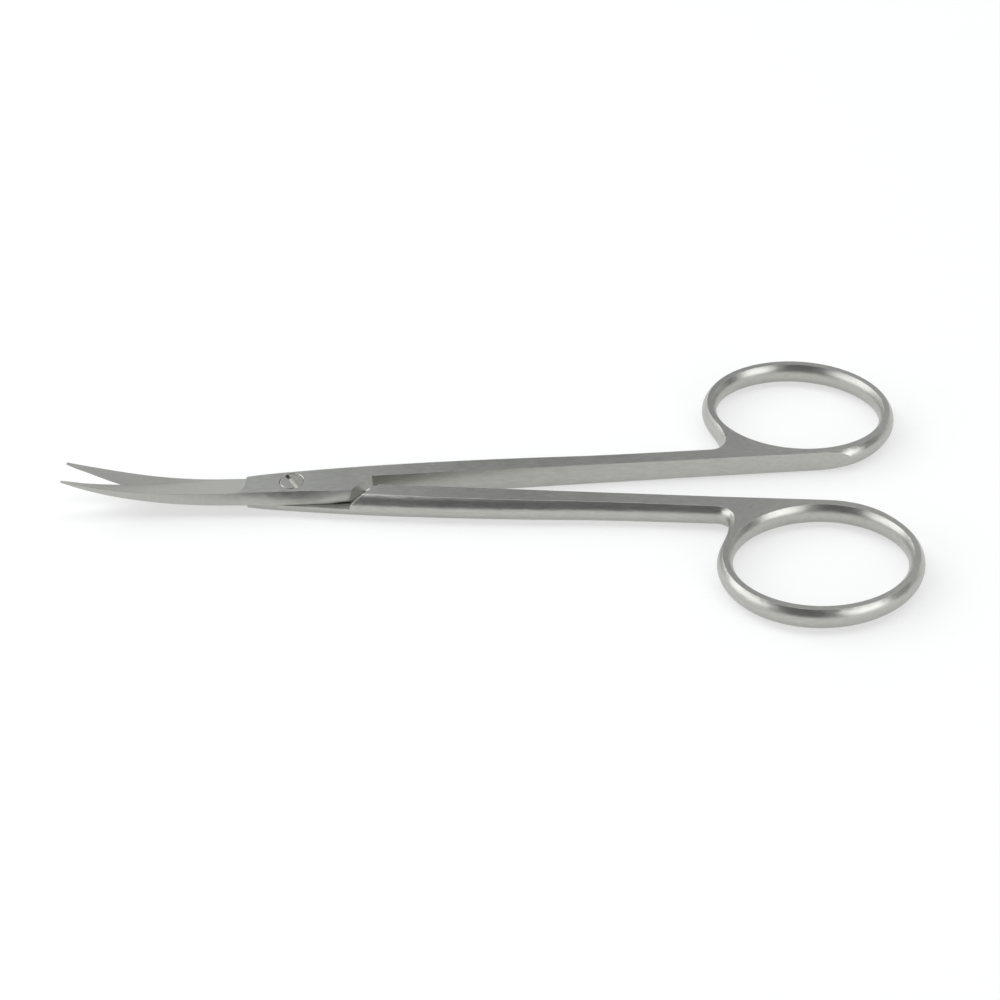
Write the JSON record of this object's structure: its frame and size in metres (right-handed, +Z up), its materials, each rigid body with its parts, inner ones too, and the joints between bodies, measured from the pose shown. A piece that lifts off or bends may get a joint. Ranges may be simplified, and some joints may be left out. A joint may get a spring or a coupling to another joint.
{
  "type": "curved dissecting scissors",
  "caption": "Fine ring-handled dissecting scissors of satin stainless steel, with slim shanks, a screw joint and pointed blades that curve up out of the plane.",
  "frame": {"origin": "on the joint screw's axis, at the flat underside of the joint", "axes": "+X along the line midway between the two shanks, towards the finger rings, with the points towards -X; +Z up, along the screw's axis out of its slotted head; +Y towards the upper half's ring"},
  "size_m": [0.114, 0.0548, 0.0059],
  "materials": {
    "satin_steel": "satin ground stainless steel",
    "screw_steel": "fine ground stainless steel"
  },
  "bodies": {
    "lower": {"lower_half": "satin_steel", "pivot_screw": "screw_steel"},
    "upper": {"upper_half": "satin_steel"}
  },
  "joints": [
    {"name": "pivot", "type": "hinge", "parent": "lower", "child": "upper", "pos_m": [0, 0, 0], "axis": [0, 0, 1], "range_deg": [-7.9, 72]}
  ]
}
